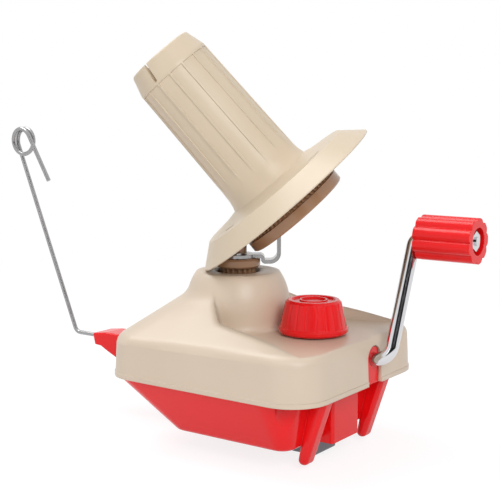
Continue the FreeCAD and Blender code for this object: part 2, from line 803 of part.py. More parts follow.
def make_yarn_guide():
    """One steel wire: shank in the arm's tip, long leg, pigtail loop, free leg."""
    lean = radians(wire_lean)
    up = V(-sin(lean), 0, cos(lean))
    side = V(cos(lean), 0, sin(lean))
    start = V(guide_tip + guide_bore_depth - wire_end_gap, 0, guide_height)
    bend = V(wire_bend_x, 0, guide_height)
    centre = bend + up * wire_leg + side * loop_radius
    points = [start, bend]
    radii = [wire_bend_radius]
    step = 2 * pi / loop_steps
    corner = loop_radius / cos(step / 2)
    for i in range(round(loop_turns * loop_steps)):
        angle = pi - (i + 0.5) * step
        across = side * (corner * cos(angle)) + up * (corner * sin(angle))
        points.append(centre + across + along_y * (-loop_pitch * (i + 0.5) / loop_steps))
        radii.append(loop_radius * 0.96)
    spread = radians(free_leg_turn)
    points.append(centre + side * (loop_radius + free_leg * sin(spread)) - up * (free_leg * cos(spread))
                  + along_y * (-loop_pitch * loop_turns))
    path = rounded_path(points, radii)
    wire = wire_tube(path, wire_radius, start, -along_x)
    samples = path.discretize(Number=900)
    least = path.Length
    for i, a in enumerate(samples):
        for b in samples[i + 60:]:
            least = min(least, a.distanceToPoint(b))
    print("yarn guide length", round(path.Length, 1))
    print("least gap to itself", round(least - 2 * wire_radius, 2))
    print("volume over section times length", round(wire.Volume / (pi * wire_radius ** 2 * path.Length), 4))
    return wire


def make_cover_screws():
    screws = []
    for x, y in left_screws() + right_places(right_screw_place):
        screws.append(pan_screw(body_screw, cover_ledge + screw_bite, V(x, y, screw_seat), along_z))
    return Part.makeCompound(screws)


def make_guide_screws():
    screws = []
    for y in (-guide_screw_spread, guide_screw_spread):
        seat = V(guide_pad, y, guide_screw_height)
        screws.append(pan_screw(body_screw, guide_screw_length, seat, -along_x))
    return Part.makeCompound(screws)


def make_post():
    """Foot in the base's boss, journal for the hub, seat for the sun pinion and a thread for its nut."""
    stud_end = sun_top + nut_height + stud_over
    return revolve([
        (0, floor_thickness), (post_foot_radius, floor_thickness), (post_foot_radius, post_shoulder),
        (post_radius, post_shoulder), (post_radius, sun_seat), (sun_bore, sun_seat),
        (sun_bore, sun_top - sun_shoulder), (post_stud, sun_top - sun_shoulder), (post_stud, stud_end),
        (0, stud_end),
    ])


def make_hub_washer():
    """Thrust washer on the post's shoulder."""
    return tube(hub_washer_radius, post_radius + screw_play, hub_washer_thickness,
                V(0, 0, post_shoulder + end_play))


def hub_outline():
    """The hub's toothed outline, with straight-sided teeth. A tooth gap faces +X."""
    points = []
    levels = [(-1.1, 1.3), (0.0, 1.0), (0.9, 0.55)]     # height in modules, share of the tooth's width
    for tooth in range(hub_teeth):
        middle = (tooth + 0.5) * 2 * pi / hub_teeth
        flank = []
        for height, width in levels:
            radius = hub_pitch_radius + height * hub_module
            flank.append((radius, hub_tooth_share * width * hub_module * pi / 2 / radius))
        for radius, half in flank:
            points.append(V(radius * cos(middle - half), radius * sin(middle - half), hub_bottom))
        for radius, half in reversed(flank):
            points.append(V(radius * cos(middle + half), radius * sin(middle + half), hub_bottom))
    return polygon(points)


def make_hub():
    """Upright teeth below, round collar above, running on the post."""
    hub = Part.Face(hub_outline()).extrude(V(0, 0, hub_teeth_top - hub_bottom))
    inner = collar_radius - collar_round
    collar = revolve([
        (0, hub_teeth_top), (inner, hub_teeth_top), (collar_radius, hub_teeth_top + collar_round),
        (collar_radius, collar_top - collar_round), (inner, collar_top), (0, collar_top),
    ])
    hub = hub.fuse(collar).cut(rod(post_radius + running_fit, collar_top, V(0, 0, hub_bottom - cut_over)))
    for side in (-1, 1):
        place = V(0, side * arm_screw_spread, collar_top - arm_hole_depth)
        hub = hub.cut(to_arm(rod(small_screw[2] + press_gap, arm_hole_depth + cut_over, place)))
    return hub


def make_spool_arm():
    """Steel strip: eye on the collar, step down, run out, upright, and a tab square to the spool's axis."""
    tilt = radians(spool_tilt)
    eye_level = collar_top + strip_thickness / 2
    step_x = collar_radius + strip_thickness / 2 + loose_fit
    tab_middle = tab_top + strip_thickness / 2
    outward = V(cos(tilt), 0, sin(tilt))
    axis_point = V(tab_middle * sin(tilt), 0, apex_height - tab_middle * cos(tilt))
    corner = axis_point + outward * ((strip_reach - axis_point.x) / cos(tilt))
    points = [V(post_radius, 0, eye_level), V(step_x, 0, eye_level), V(step_x, 0, strip_level),
              V(strip_reach, 0, strip_level), corner, axis_point + outward * strip_tab_reach]
    path = rounded_path(points, [strip_step_bend, strip_step_bend, strip_foot_bend, strip_bend])
    eye = rod(strip_eye_radius, strip_thickness, V(0, 0, collar_top))
    strip = strip_sweep(path, points[0], along_x).fuse(eye)
    strip = strip.cut(rod(post_radius + loose_fit, strip_thickness, V(0, 0, collar_top)))
    for side in (-1, 1):
        strip = strip.cut(rod(small_screw[2] + screw_play, strip_thickness,
                              V(0, side * arm_screw_spread, collar_top)))
    pin_hole = rod(spindle_radius + press_gap, 2 * tab_middle, V(0, 0, -3 * tab_middle / 2))
    return to_arm(strip).cut(to_spool(pin_hole))


def make_arm_screws():
    screws = []
    for side in (-1, 1):
        seat = V(0, side * arm_screw_spread, collar_top + strip_thickness)
        screws.append(to_arm(pan_screw(small_screw, arm_screw_length, seat, -along_z)))
    return Part.makeCompound(screws)


def bevel_outline(teeth, cone, along, first_angle):
    """One closed outline of a bevel gear, in the plane at a distance along its axis from the apex."""
    points = []
    levels = [(-tooth_dedendum, tooth_root_width), (0.0, 1.0), (tooth_addendum, tooth_tip_width)]
    pitch_angle = 2 * pi / teeth
    for tooth in range(teeth):
        middle = first_angle + tooth * pitch_angle
        flank = []
        for height, share in levels:
            angle = cone + height * bevel_module / cone_length
            half = pitch_angle * tooth_share * share / 2 * sin(cone) / sin(angle)
            flank.append((along * tan(angle), half))
        for radius, half in flank:
            points.append(V(radius * cos(middle - half), radius * sin(middle - half), -along))
        for radius, half in reversed(flank):
            points.append(V(radius * cos(middle + half), radius * sin(middle + half), -along))
    return polygon(points)


def bevel_teeth(teeth, cone, first_angle):
    """The toothed part of a bevel gear, apex at the origin, gear below it on the Z axis."""
    wires = [bevel_outline(teeth, cone, length * cos(cone), first_angle)
             for length in (cone_length, cone_length - bevel_face)]
    return Part.makeLoft(wires, True, True)


def make_sun():
    """Small bevel pinion, fixed on the post, a tooth towards the arm."""
    teeth = bevel_teeth(sun_teeth, sun_cone, radians(arm_azimuth))
    teeth.translate(V(0, 0, apex_height))
    boss = rod(sun_boss_radius, sun_boss_height + cut_over, V(0, 0, sun_seat))
    return teeth.fuse(boss).cut(rod(sun_bore + press_gap, sun_top, V(0, 0, sun_seat - cut_over)))


def make_ring_gear():
    """Bevel teeth on top, a smooth band below and a hub on the spindle. A tooth gap faces the post."""
    along = cone_length * cos(ring_cone)
    small = (cone_length - bevel_face) * cos(ring_cone)
    root_small = small * tan(ring_cone - tooth_dedendum * bevel_module / cone_length)
    inner = ring_neck_radius - ring_wall
    band_inner = ring_band_radius - ring_wall
    under_teeth = small + ring_wall / 4
    band_start = along + 1.5 * loose_fit
    core = revolve([
        (ring_neck_radius, -ring_top), (ring_neck_radius, -small), (root_small - loose_fit, -small),
        (band_inner + 2 * loose_fit, -band_start), (ring_band_radius, -band_start),
        (ring_band_radius, -ring_band_end + ring_band_edge),
        (ring_band_radius - ring_band_edge, -ring_band_end), (band_inner, -ring_band_end),
        (band_inner, -band_start), (inner, -under_teeth), (inner, -ring_plate),
        (ring_hub_radius, -ring_plate), (ring_hub_radius, -ring_hub_bottom),
        (spindle_radius + running_fit, -ring_hub_bottom), (spindle_radius + running_fit, -ring_top),
    ])
    bore = revolve([
        (0, -small + cut_over), (inner + cut_over, -small + cut_over), (inner + cut_over, -under_teeth),
        (band_inner, -band_start), (band_inner, -ring_band_end), (0, -ring_band_end),
    ])
    ring = core.fuse(bevel_teeth(ring_teeth, ring_cone, pi + pi / ring_teeth).cut(bore))
    for x, y in ring_screw_places():
        ring = ring.cut(rod(screw_shank + screw_play, ring_plate, V(x, y, -ring_plate - cut_over)))
    return to_spool(ring)


def ring_screw_places():
    """Places of the three screws that hold the ring gear in the spool, round the spool's axis."""
    return [(ring_screw_circle * cos(radians(angle)), ring_screw_circle * sin(radians(angle)))
            for angle in ring_screw_angles]


def make_ring_screws():
    screws = []
    for x, y in ring_screw_places():
        screws.append(to_spool(pan_screw(body_screw, ring_screw_length, V(x, y, -ring_plate), along_z)))
    return Part.makeCompound(screws)


def make_spindle():
    """The spool's pin, grooved at the top for its clip and riveted under the tab."""
    under = -(tab_top + strip_thickness)
    groove = spindle_radius - clip_depth
    return to_spool(revolve([
        (0, under - rivet_height), (rivet_radius - rivet_height / 2, under - rivet_height),
        (rivet_radius, under - rivet_height / 2), (rivet_radius, under), (spindle_radius, under),
        (spindle_radius, spindle_groove), (groove, spindle_groove),
        (groove, spindle_groove + clip_thickness), (spindle_radius, spindle_groove + clip_thickness),
        (spindle_radius, spindle_end - spindle_edge),
        (spindle_radius - spindle_edge, spindle_end), (0, spindle_end),
    ]))


def make_spindle_washers():
    """Thrust washer on the tab, and the spacer under the top clip."""
    bore = spindle_radius + screw_play
    lower = tube(spindle_washer_radius, bore, washer_lower, V(0, 0, -tab_top))
    upper = tube(spindle_washer_radius, bore, washer_upper, V(0, 0, -end_plate + end_play))
    return Part.makeCompound([to_spool(lower), to_spool(upper)])


def make_spindle_clip():
    """Open spring clip in the spindle's groove."""
    mouth = box(0, 2 * clip_radius, -clip_mouth / 2, clip_mouth / 2, 0, spindle_end)
    return to_spool(open_clip(spindle_radius, V(0, 0, spindle_groove), along_z, mouth))


def spool_profile():
    """The spool's wall from the bush in the end plate, round the outside and back inside."""
    wall = spool_wall
    plate_under = -end_plate - end_plate_thickness
    flare_middle = (body_radius + (flare_radius - body_radius) * flare_bow,
                    -(spool_body_end + spool_flare_end) / 2)
    dish_middle = ((flare_radius + flange_radius) / 2, -(spool_flare_end + flange_edge) / 2 - flange_bow)
    inner_body = body_radius - wall - 2 * loose_fit
    boss_circle = ring_screw_circle + screw_boss_radius + cut_over
    return [
        (bush_radius_outside, -end_plate), (cup_floor_radius, -end_plate),
        (cup_radius - spool_edge, -end_plate + 0.4, cup_radius, -end_plate + 1.5),
        (cup_radius, -spool_end), (end_radius - spool_edge, -spool_end),
        (end_radius, -spool_end - spool_edge), (cap_radius, -spool_cap), (body_radius, -spool_body_end),
        flare_middle + (flare_radius, -spool_flare_end), dish_middle + (flange_radius, -flange_edge),
        (rim_radius, -rim_edge + spool_edge), (rim_radius, -rim_edge),
        (rim_radius - rim_thickness, -rim_edge), (flange_radius - rim_thickness, -flange_edge - wall),
        (flare_radius + wall, -flange_edge - wall / 2), (ring_neck_radius + cut_over, -ring_top),
        (boss_circle, -ring_top), (boss_circle, -ring_top + spool_floor), (inner_body, -spool_body_end),
        (cap_radius - wall, -spool_cap - wall), (cup_floor_radius - cut_over, plate_under),
        (bush_radius_outside + bush_boss_wall, plate_under),
        (bush_radius_outside + bush_boss_wall, -end_plate - bush_length),
        (bush_radius_outside, -end_plate - bush_length),
    ]


def make_spool():
    """Hollow ribbed cone with a slit end cup and a dished flange."""
    spool = revolve(spool_profile())
    floor = tube(ring_screw_circle + screw_boss_radius + 2 * cut_over, ring_hub_radius, spool_floor,
                 V(0, 0, -ring_top))
    spool = spool.fuse(floor)
    for x, y in ring_screw_places():
        place = V(x, y, -ring_top)
        spool = spool.fuse(rod(screw_boss_radius, screw_boss_height, place))
        spool = spool.cut(rod(screw_shank + press_gap, screw_boss_hole, place))
    panel_arc = 360 / rib_count
    for i in range(rib_count):
        spool = spool.cut(make_panel(slit_angle + i * panel_arc, panel_arc))
    slit = box(cup_floor_radius - spool_wall, rim_radius, -slit_width / 2, slit_width / 2,
               -spool_end - slit_depth, -spool_end + cut_over)
    slit.rotate(origin, along_z, slit_angle)
    spool = spool.cut(slit)
    for i in range(catch_slots):
        spool = spool.cut(catch_slot(catch_slot_angle + i * 360 / catch_slots))
    return to_spool(spool)


def make_panel(angle, arc):
    """The shallow sunken panel between two ribs, following the body's taper and fading out at its foot."""
    slope = (body_radius - cap_radius) / (spool_body_end - spool_cap)
    top_radius = cap_radius + slope * (panel_start - spool_cap)
    fade_radius = cap_radius + slope * (panel_fade - spool_cap)
    bottom_radius = cap_radius + slope * (panel_end - spool_cap)
    rib_arc = degrees(rib_width / body_radius)
    profile = [
        V(top_radius - panel_depth, 0, -panel_start), V(top_radius + spool_wall, 0, -panel_start),
        V(bottom_radius + spool_wall, 0, -panel_end), V(bottom_radius, 0, -panel_end),
        V(fade_radius - panel_depth, 0, -panel_fade),
    ]
    sector = Part.Face(polygon(profile)).revolve(origin, along_z, arc - rib_arc)
    sector.rotate(origin, along_z, angle + rib_arc / 2)
    return sector


def catch_slot(angle):
    """A narrow curved slot through the flange that catches the yarn's end."""
    inner = catch_slot_radius - catch_slot_width / 2
    outer = catch_slot_radius + catch_slot_width / 2
    profile = [V(inner, 0, -rim_edge), V(outer, 0, -rim_edge),
               V(outer, 0, -spool_flare_end), V(inner, 0, -spool_flare_end)]
    slot =Part.Face(polygon(profile)).revolve(origin, along_z, 2 * catch_slot_half)
    slot.rotate(origin, along_z, angle - catch_slot_half)
    return slot


def make_spool_bush():
    return to_spool(tube(bush_radius_outside - press_gap, spindle_radius + running_fit, bush_length,
                         V(0, 0, -end_plate - bush_length)))


def make_crown_wheel():
    """Wheel on the crank shaft. Its face teeth lie on lines that pass the shaft at the post's offset."""
    wheel = rod(crown_outer, crown_rim, V(crown_root_x, 0, 0), along_x)
    wheel = wheel.cut(tube(crown_radius - crown_face, crown_hub_radius + crown_face, crown_rim,
                           V(crown_root_x + crown_web, 0, 0), along_x))
    wheel = wheel.fuse(rod(crown_hub_radius, crown_hub_end - crown_root_x, V(crown_root_x, 0, 0), along_x))
    half_tip = hub_module * crown_tip_width / 2
    half_root = hub_module * crown_root_width / 2
    root = crown_root_x + crown_web / 2
    profile = [V(crown_tip_x, -half_tip, 0), V(crown_tip_x, half_tip, 0),
               V(root, half_root, 0), V(root, -half_root, 0)]
    tooth = Part.Face(polygon(profile)).extrude(V(0, 0, crown_face))
    tooth.translate(V(0, -crank_offset, crown_radius - crown_face / 2))
    teeth = []
    for i in range(crown_teeth):
        turned = tooth.copy()
        turned.rotate(origin, along_x, 360 / crown_teeth * i)
        teeth.append(turned)
    wheel = wheel.multiFuse(teeth)
    shaft_end = V(crank_inner_end - press_gap, 0, 0)
    wheel = wheel.cut(rod(crank_radius + press_gap, crown_hub_end, shaft_end, along_x))
    wheel = wheel.cut(rod(crank_pin_radius + press_gap, 2 * crown_outer, V(crank_pin_x, 0, -crown_outer)))
    wheel.translate(V(0, crank_offset, crank_height))
    return wheel


def make_crank_pin():
    """Cross pin through the crown wheel's hub and the shaft."""
    return rod(crank_pin_radius, crown_hub_radius * 2,
               V(crank_pin_x, crank_offset, crank_height - crown_hub_radius))


def make_crank_rod():
    """One round rod bent twice, with a thinner end that the grip turns on."""
    start = V(crank_inner_end, crank_offset, crank_height)
    points = [start, V(crank_arm_x, crank_offset, crank_height),
              V(crank_arm_x, grip_centre_y, grip_centre_z), V(grip_shoulder, grip_centre_y, grip_centre_z)]
    upper_bend = grip_shoulder - crank_arm_x - 2 * clip_depth
    crank = wire_tube(rounded_path(points, [crank_bend, upper_bend]), crank_radius, start, along_x)
    stud_end = grip_seat + thin_washer + nut_height + stud_over
    stud = rod(grip_pin_radius, stud_end - grip_start, V(grip_start, grip_centre_y, grip_centre_z), along_x)
    groove = tube(crank_radius + cut_over, crank_radius - clip_depth, clip_thickness,
                  V(crank_clip_x, crank_offset, crank_height), along_x)
    pin_hole = rod(crank_pin_radius + press_gap, 4 * crank_radius,
                   V(crank_pin_x, crank_offset, crank_height - 2 * crank_radius))
    return crank.fuse(stud).cut(groove).cut(pin_hole)


def make_crank_bushes():
    bushes = []
    for x in (inner_bearing_x, outer_bearing_x):
        bushes.append(tube(bush_radius, crank_radius + running_fit, bearing_length,
                           V(x, crank_offset, crank_height), along_x))
    return Part.makeCompound(bushes)


def make_crank_washer():
    """Washer between the inner bearing and the clip."""
    return tube(crank_washer_radius, crank_radius + screw_play, thin_washer,
                V(inner_bearing_x + bearing_length, crank_offset, crank_height), along_x)


def make_crank_clip():
    """Spring clip that keeps the crank shaft in its bearings."""
    mouth = box(crank_clip_x - cut_over, crank_clip_x + 2 * cut_over, crank_offset - clip_mouth / 2,
                crank_offset + clip_mouth / 2, crank_height - 2 * clip_radius, crank_height)
    return open_clip(crank_radius, V(crank_clip_x, crank_offset, crank_height), along_x, mouth)


def make_grip():
    """Fluted grip: round lobes side by side, a counterbore for the rod and a recess for the nut."""
    lobe_angle = 2 * pi / grip_lobes
    low = grip_radius - grip_valley
    edges = []
    for i in range(grip_lobes):
        start, middle, end = [(i + step) * lobe_angle for step in (-0.5, 0.0, 0.5)]
        edges.append(Part.Arc(V(0, low * cos(start), low * sin(start)),
                              V(0, grip_radius * cos(middle), grip_radius * sin(middle)),
                              V(0, low * cos(end), low * sin(end))).toShape())
    grip = Part.Face(Part.Wire(edges)).extrude(V(grip_length, 0, 0))
    past = grip_radius + loose_fit
    ends = revolve([(0, 0), (past - grip_edge, 0), (past, grip_edge),
                    (past, grip_length - grip_edge), (past - grip_edge, grip_length), (0, grip_length)])
    ends.rotate(origin, along_y, 90)
    grip = grip.common(ends)
    grip = grip.cut(rod(grip_pin_radius + running_fit, grip_length, origin, along_x))
    grip = grip.cut(rod(crank_radius + loose_fit, grip_shoulder_depth + end_play, origin, along_x))
    recess_floor = V(grip_length - grip_recess_depth, 0, 0)
    grip = grip.cut(rod(grip_recess_radius, grip_recess_depth, recess_floor, along_x))
    grip.translate(V(grip_start, grip_centre_y, grip_centre_z))
    return grip


def make_grip_washer():
    return tube(grip_washer_radius, grip_pin_radius + press_gap, thin_washer - end_play,
                V(grip_seat + end_play, grip_centre_y, grip_centre_z), along_x)


def make_grip_nut():
    place = V(grip_seat + thin_washer, grip_centre_y, grip_centre_z)
    return make_nut(grip_nut_flats, nut_height, grip_pin_radius, place, along_x)


def make_knob():
    """Fluted knob with a sunken top, on a shank that reaches through the cover."""
    top = knob_base + knob_height
    dish = knob_top_radius - knob_dish
    knob = revolve([
        (0, knob_base), (knob_radius - knob_edge, knob_base), (knob_radius, knob_base + knob_edge),
        (knob_radius, knob_base + knob_rim), (knob_radius - knob_edge, knob_base + knob_rim + knob_edge),
        (knob_top_radius + knob_edge / 2, top - 1.5 * knob_edge), (knob_top_radius - knob_edge, top),
        (dish, top), (dish - knob_edge / 2, top - knob_dish_depth), (0, top - knob_dish_depth),
    ])
    ring = tube(knob_ring_radius, knob_ring_radius - knob_ring_width, knob_dish_depth,
                V(0, 0, top - knob_dish_depth))
    knob = knob.fuse(ring)
    lean = atan((knob_radius - knob_top_radius) / knob_height)
    flutes = []
    for i in range(knob_flutes):
        angle = 2 * pi / knob_flutes * i
        outward = V(cos(angle), sin(angle), 0)
        foot = V(0, 0, knob_base + knob_rim + knob_edge) + outward * (knob_radius + flute_offset)
        flutes.append(rod(flute_radius, 1.5 * knob_height, foot, along_z * cos(lean) - outward * sin(lean)))
    knob = knob.cut(Part.makeCompound(flutes))
    knob = knob.fuse(rod(knob_shank_radius, knob_base - knob_shank_end, V(0, 0, knob_shank_end)))
    knob = knob.cut(rod(screw_radius, knob_base + screw_grip - knob_shank_end, V(0, 0, knob_shank_end)))
    knob.translate(V(screw_x, 0, 0))
    return knob


def make_clamp_screw():
    """Threaded spindle of the clamp: head end pressed in the knob, spigot in the hull's floor."""
    top = knob_base + screw_grip
    screw = revolve([(0, screw_spigot_end), (screw_spigot, screw_spigot_end), (screw_spigot, screw_shoulder),
                     (screw_radius, screw_shoulder), (screw_radius, top), (0, top)])
    screw.translate(V(screw_x, 0, 0))
    return screw


def make_knob_washer():
    return tube(knob_washer_radius, knob_shank_radius + screw_play, knob_washer_thickness,
                V(screw_x, 0, platform_height))


def make_jaw():
    """C-shaped steel strip: threaded tab in the hull, web through the floor, toothed tab under the table."""
    inner = jaw_web - jaw_thickness
    low = -jaw_gap - jaw_thickness
    lip_top = -jaw_gap + jaw_lip
    end = jaw_web - jaw_length
    tab_start = screw_x - jaw_nut_size / 2 - jaw_tab_over
    bend = jaw_bend * (1 - sqrt(0.5))
    items = [
        (tab_start, jaw_nut_top), (inner, jaw_nut_top), (inner, -jaw_gap), (end + jaw_thickness, -jaw_gap),
        (end + jaw_thickness, lip_top), (end, lip_top), (end, low), (jaw_web - jaw_bend, low),
        (jaw_web - bend, low + bend, jaw_web, low + jaw_bend), (jaw_web, jaw_tab_top - jaw_bend),
        (jaw_web - bend, jaw_tab_top - bend, jaw_web - jaw_bend, jaw_tab_top), (tab_start, jaw_tab_top),
    ]
    profile = outline(items, lambda x, z: V(x, -jaw_width / 2, z))
    jaw = Part.Face(profile).extrude(V(0, jaw_width, 0))
    for y in jaw_tooth_places:
        jaw = jaw.cut(box(end - cut_over, end + jaw_thickness + cut_over, y - jaw_tooth_gap / 2,
                          y + jaw_tooth_gap / 2, lip_top - jaw_tooth_depth, lip_top + cut_over))
    return jaw.cut(rod(screw_radius + screw_play, jaw_thickness, V(screw_x, 0, jaw_nut_top)))


def make_jaw_nut():
    half = jaw_nut_size / 2
    bottom = jaw_nut_top - jaw_nut_height
    nut = box(screw_x - half, screw_x + half, -half, half, bottom, jaw_nut_top)
    return nut.cut(rod(screw_radius + running_fit, jaw_nut_height, V(screw_x, 0, bottom)))


os.makedirs("parts", exist_ok=True)

save("base", make_base())
save("top_cover", make_cover())
save("cover_screws", make_cover_screws())
save("guide_arm", make_guide_arm())
save("guide_arm_screws", make_guide_screws())
save("yarn_guide", make_yarn_guide())
save("centre_post", make_post())
save("hub_washer", make_hub_washer())
save("sun_pinion", make_sun())
save("sun_nut", make_nut(nut_flats, nut_height, post_stud, V(0, 0, sun_top), along_z))
save("drive_hub", make_hub())
save("spool_arm", make_spool_arm())
save("arm_screws", make_arm_screws())
save("spool_spindle", make_spindle())
save("spindle_washers", make_spindle_washers())
save("spindle_clip", make_spindle_clip())
save("ring_gear", make_ring_gear())
save("ring_screws", make_ring_screws())
save("spool", make_spool())
save("spool_bush", make_spool_bush())
save("crank_rod", make_crank_rod())
save("crown_wheel", make_crown_wheel())
save("crank_pin", make_crank_pin())
save("crank_bushes", make_crank_bushes())
save("crank_washer", make_crank_washer())
save("crank_clip", make_crank_clip())
save("crank_grip", make_grip())
save("grip_washer", make_grip_washer())
save("grip_nut", make_grip_nut())
save("clamp_knob", make_knob())
save("clamp_screw", make_clamp_screw())
save("knob_washer", make_knob_washer())
save("clamp_jaw", make_jaw())
save("jaw_nut", make_jaw_nut())
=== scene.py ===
import bpy
import math
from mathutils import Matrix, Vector


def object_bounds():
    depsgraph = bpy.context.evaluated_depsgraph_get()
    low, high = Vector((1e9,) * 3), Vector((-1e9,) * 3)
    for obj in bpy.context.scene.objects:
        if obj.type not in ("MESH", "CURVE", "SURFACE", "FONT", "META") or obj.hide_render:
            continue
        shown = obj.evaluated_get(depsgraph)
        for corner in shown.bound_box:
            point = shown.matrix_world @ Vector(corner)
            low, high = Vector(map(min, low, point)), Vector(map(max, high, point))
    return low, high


# Looks of a hand-cranked yarn ball winder, in metres, in the frame of its solid model.

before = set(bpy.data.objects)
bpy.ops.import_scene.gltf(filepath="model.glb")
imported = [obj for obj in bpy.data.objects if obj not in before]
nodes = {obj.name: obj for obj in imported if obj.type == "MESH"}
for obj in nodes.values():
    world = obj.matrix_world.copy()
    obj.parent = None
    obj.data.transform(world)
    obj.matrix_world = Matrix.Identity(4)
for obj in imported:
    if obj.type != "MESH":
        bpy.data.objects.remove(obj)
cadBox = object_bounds()
print("frame loaded,", len(nodes), "nodes")


def linearColour(hexCode):
    channels = [int(hexCode[i:i + 2], 16) / 255 for i in (1, 3, 5)]
    linear = [c / 12.92 if c <= 0.04045 else ((c + 0.055) / 1.055) ** 2.4 for c in channels]
    return (*linear, 1.0)


def addNode(tree, kind, settings=None, links=None):
    node = tree.nodes.new(kind)
    for name, value in (settings or {}).items():
        if hasattr(node, name):
            setattr(node, name, value)
        else:
            node.inputs[name].default_value = value
    for socket, source in (links or {}).items():
        tree.links.new(source, node.inputs[socket])
    return node


def startMaterial(name):
    material = bpy.data.materials.new(name)
    material.use_nodes = True
    tree = material.node_tree
    tree.nodes.clear()
    output = addNode(tree, "ShaderNodeOutputMaterial")
    return material, tree, output


def perMetre(millimetres):
    return 1000.0 / millimetres  # a noise scale whose grains are this many millimetres apart


# Injection-moulded plastic: an even colour with a faint cloud in it, a fine spark-eroded grain
# and edges that look a touch paler where hands and yarn have rubbed them.
# The cover has broad soft creases on its shoulders, the other mouldings have tight ones.
plasticLooks = {
    "creamAbsShell": {
        "colour": "#d9c8b4", "shade": "#d1bfaa", "rubbed": "#e6d9c8",
        "roughness": 0.34, "roughnessSpread": 0.05, "ior": 1.53,
        "cloudMm": 38.0, "grainMm": 0.6, "grainHeight": 0.00002, "edgeMm": 0.5,
        "creaseMm": 4.5, "creaseFrom": 0.0435, "creaseTo": 0.0455,
    },
    "creamAbs": {
        "colour": "#dac9b1", "shade": "#d2c0a6", "rubbed": "#ece0d0",
        "roughness": 0.36, "roughnessSpread": 0.06, "ior": 1.53,
        "cloudMm": 30.0, "grainMm": 0.6, "grainHeight": 0.00002, "edgeMm": 0.5,
    },
    "redAbs": {
        "colour": "#ee1519", "shade": "#e81015", "rubbed": "#f2484c",
        "roughness": 0.19, "roughnessSpread": 0.04, "ior": 1.46, "specular": 0.38,
        "cloudMm": 30.0, "grainMm": 0.8, "grainHeight": 0.000006, "edgeMm": 0.45,
    },
    "brownAcetal": {
        "colour": "#ab8566", "shade": "#9d7757", "rubbed": "#bd9f84",
        "roughness": 0.15, "roughnessSpread": 0.05, "ior": 1.5,
        "cloudMm": 16.0, "grainMm": 0.5, "grainHeight": 0.00001, "edgeMm": 0.25,
    },
    "naturalNylon": {
        "colour": "#ddd9cd", "shade": "#d2cdbf", "rubbed": "#ece9e0",
        "roughness": 0.4, "roughnessSpread": 0.06, "ior": 1.53,
        "cloudMm": 20.0, "grainMm": 0.5, "grainHeight": 0.00002, "edgeMm": 0.25,
    },
}

handling = {
    "smearMm": 7.0, "smearTwist": 0.8,  # patches that fingers leave
    "edgeStart": 0.995, "edgeFull": 0.8,  # cosines of the turn at which rubbing starts and is full
    "edgeMost": 0.55,  # share of the rubbed colour there
}


def makePlastic(name):
    look = plasticLooks[name]
    material, tree, output = startMaterial(name)
    place = addNode(tree, "ShaderNodeTexCoord").outputs["Object"]
    cloud = addNode(tree, "ShaderNodeTexNoise",
                    {"Scale": perMetre(look["cloudMm"]), "Detail": 3.0}, {"Vector": place})
    grain = addNode(tree, "ShaderNodeTexNoise",
                    {"Scale": perMetre(look["grainMm"]), "Detail": 2.0}, {"Vector": place})
    smear = addNode(tree, "ShaderNodeTexNoise",
                    {"Scale": perMetre(handling["smearMm"]), "Detail": 4.0,
                     "Distortion": handling["smearTwist"]}, {"Vector": place})
    body = addNode(tree, "ShaderNodeMix", {"data_type": "RGBA"}, {0: cloud.outputs["Fac"]})
    body.inputs[6].default_value = linearColour(look["shade"])
    body.inputs[7].default_value = linearColour(look["colour"])
    bevel = addNode(tree, "ShaderNodeBevel", {"samples": 6, "Radius": look["edgeMm"] / 1000})
    plain = addNode(tree, "ShaderNodeNewGeometry")
    turn = addNode(tree, "ShaderNodeVectorMath", {"operation": "DOT_PRODUCT"},
                   {0: bevel.outputs["Normal"], 1: plain.outputs["Normal"]})
    worn = addNode(tree, "ShaderNodeMapRange",
                   {"From Min": handling["edgeStart"], "From Max": handling["edgeFull"],
                    "To Max": handling["edgeMost"]}, {"Value": turn.outputs["Value"]})
    patchy = addNode(tree, "ShaderNodeMath", {"operation": "MULTIPLY"},
                     {0: worn.outputs["Result"], 1: smear.outputs["Fac"]})
    colour = addNode(tree, "ShaderNodeMix", {"data_type": "RGBA"},
                     {0: patchy.outputs["Value"], 6: body.outputs[2]})
    colour.inputs[7].default_value = linearColour(look["rubbed"])
    gloss = addNode(tree, "ShaderNodeMapRange",
                    {"From Min": 0.3, "From Max": 0.7, "To Min": look["roughness"],
                     "To Max": look["roughness"] + look["roughnessSpread"]},
                    {"Value": smear.outputs["Fac"]})
    facing = bevel.outputs["Normal"]
    if "creaseMm" in look:  # only the shoulders, the lip below them keeps its fine line
        broad = addNode(tree, "ShaderNodeBevel",
                        {"samples": 12, "Radius": look["creaseMm"] / 1000})
        height = addNode(tree, "ShaderNodeSeparateXYZ", None, {"Vector": place})
        upper = addNode(tree, "ShaderNodeMapRange",
                        {"From Min": look["creaseFrom"], "From Max": look["creaseTo"]},
                        {"Value": height.outputs["Z"]})
        soft = addNode(tree, "ShaderNodeMix", {"data_type": "VECTOR"},
                       {0: upper.outputs["Result"], 4: facing, 5: broad.outputs["Normal"]})
        unit = addNode(tree, "ShaderNodeVectorMath", {"operation": "NORMALIZE"}, {0: soft.outputs[1]})
        facing = unit.outputs["Vector"]
    bump = addNode(tree, "ShaderNodeBump", {"Strength": 1.0, "Distance": look["grainHeight"]},
                   {"Height": grain.outputs["Fac"], "Normal": facing})
    shader = addNode(tree, "ShaderNodeBsdfPrincipled",
                     {"IOR": look["ior"], "Specular IOR Level": look.get("specular", 0.5)},
                     {"Base Color": colour.outputs[2], "Roughness": gloss.outputs["Result"],
                      "Normal": bump.outputs["Normal"]})
    tree.links.new(shader.outputs[0], output.inputs["Surface"])
    return material


